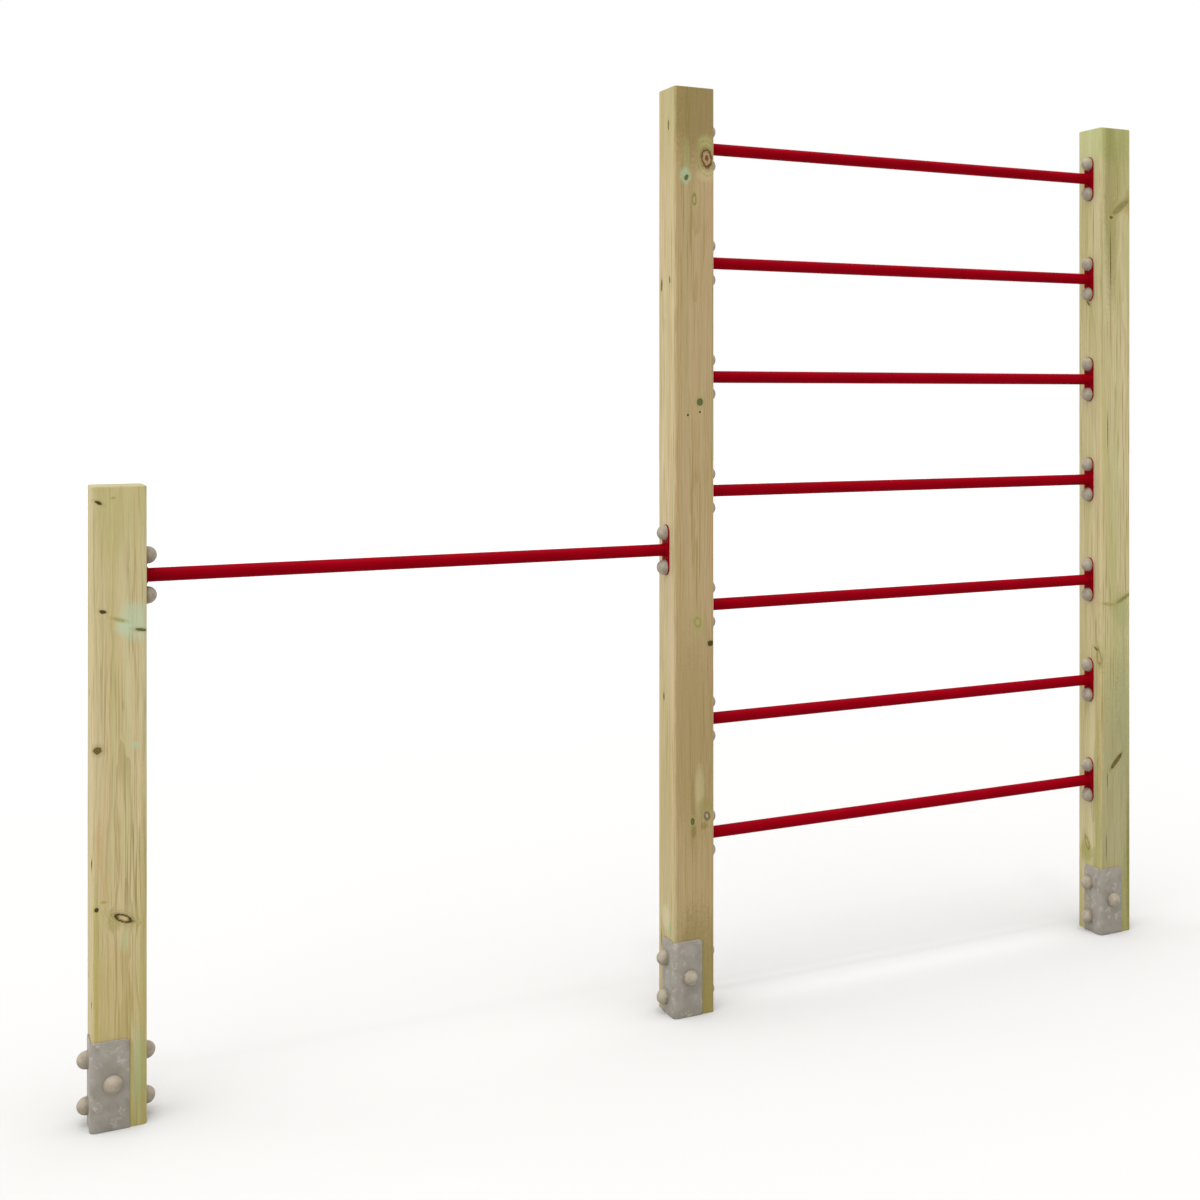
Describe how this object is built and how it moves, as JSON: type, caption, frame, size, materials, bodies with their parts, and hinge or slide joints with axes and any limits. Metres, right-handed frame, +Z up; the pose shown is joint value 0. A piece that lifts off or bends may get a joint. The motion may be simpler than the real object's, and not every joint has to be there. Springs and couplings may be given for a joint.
{
  "type": "monkey bars",
  "caption": "Playground monkey bars: a low turning bar and a wall of climbing rungs between square timber posts, with flanged steel bars, domed bolt caps and angle anchors.",
  "frame": {"origin": "on the ground under the middle of the middle post", "axes": "+X along the row from the short post to the end post, +Y through the row from its front, where the heads of the anchors' front bolts are, to its back, +Z up"},
  "size_m": [2.577, 0.143, 2.145],
  "materials": {
    "treated_timber": "planed, pressure-treated pine with a greenish tint",
    "red_powder_coat": "semi-gloss red powder coat",
    "beige_cap_plastic": "satin moulded plastic",
    "galvanised_steel": "hot-dip galvanised, dull, with pale spangle",
    "bright_zinc": "bright zinc plating"
  },
  "bodies": {
    "root": {"short_post": "treated_timber", "middle_post": "treated_timber", "end_post": "treated_timber", "low_bar_tube": "red_powder_coat", "rung_1_tube": "red_powder_coat", "rung_2_tube": "red_powder_coat", "rung_3_tube": "red_powder_coat", "rung_4_tube": "red_powder_coat", "rung_5_tube": "red_powder_coat", "rung_6_tube": "red_powder_coat", "rung_7_tube": "red_powder_coat", "low_bar_left_flange": "red_powder_coat", "rung_1_left_flange": "red_powder_coat", "rung_2_left_flange": "red_powder_coat", "rung_3_left_flange": "red_powder_coat", "rung_4_left_flange": "red_powder_coat", "rung_5_left_flange": "red_powder_coat", "rung_6_left_flange": "red_powder_coat", "rung_7_left_flange": "red_powder_coat", "low_bar_right_flange": "red_powder_coat", "rung_1_right_flange": "red_powder_coat", "rung_2_right_flange": "red_powder_coat", "rung_3_right_flange": "red_powder_coat", "rung_4_right_flange": "red_powder_coat", "rung_5_right_flange": "red_powder_coat", "rung_6_right_flange": "red_powder_coat", "rung_7_right_flange": "red_powder_coat", "low_bar_welds": "red_powder_coat", "rung_welds": "red_powder_coat", "short_post_coach_screws": "bright_zinc", "middle_post_left_coach_screws": "bright_zinc", "middle_post_right_coach_screws": "bright_zinc", "end_post_coach_screws": "bright_zinc", "short_post_screw_washers": "bright_zinc", "middle_post_left_screw_washers": "bright_zinc", "middle_post_right_screw_washers": "bright_zinc", "end_post_screw_washers": "bright_zinc", "short_post_cap_bases": "beige_cap_plastic", "middle_post_left_cap_bases": "beige_cap_plastic", "middle_post_right_cap_bases": "beige_cap_plastic", "end_post_cap_bases": "beige_cap_plastic", "short_post_cap_covers": "beige_cap_plastic", "middle_post_left_cap_covers": "beige_cap_plastic", "middle_post_right_cap_covers": "beige_cap_plastic", "end_post_cap_covers": "beige_cap_plastic", "short_post_anchor": "galvanised_steel", "middle_post_anchor": "galvanised_steel", "end_post_anchor": "galvanised_steel", "anchor_side_bolts": "bright_zinc", "anchor_front_bolts": "bright_zinc", "anchor_bolt_nuts": "bright_zinc", "anchor_bolt_washers": "bright_zinc", "anchor_cap_bases": "beige_cap_plastic", "anchor_cap_covers": "beige_cap_plastic"}
  },
  "joints": []
}
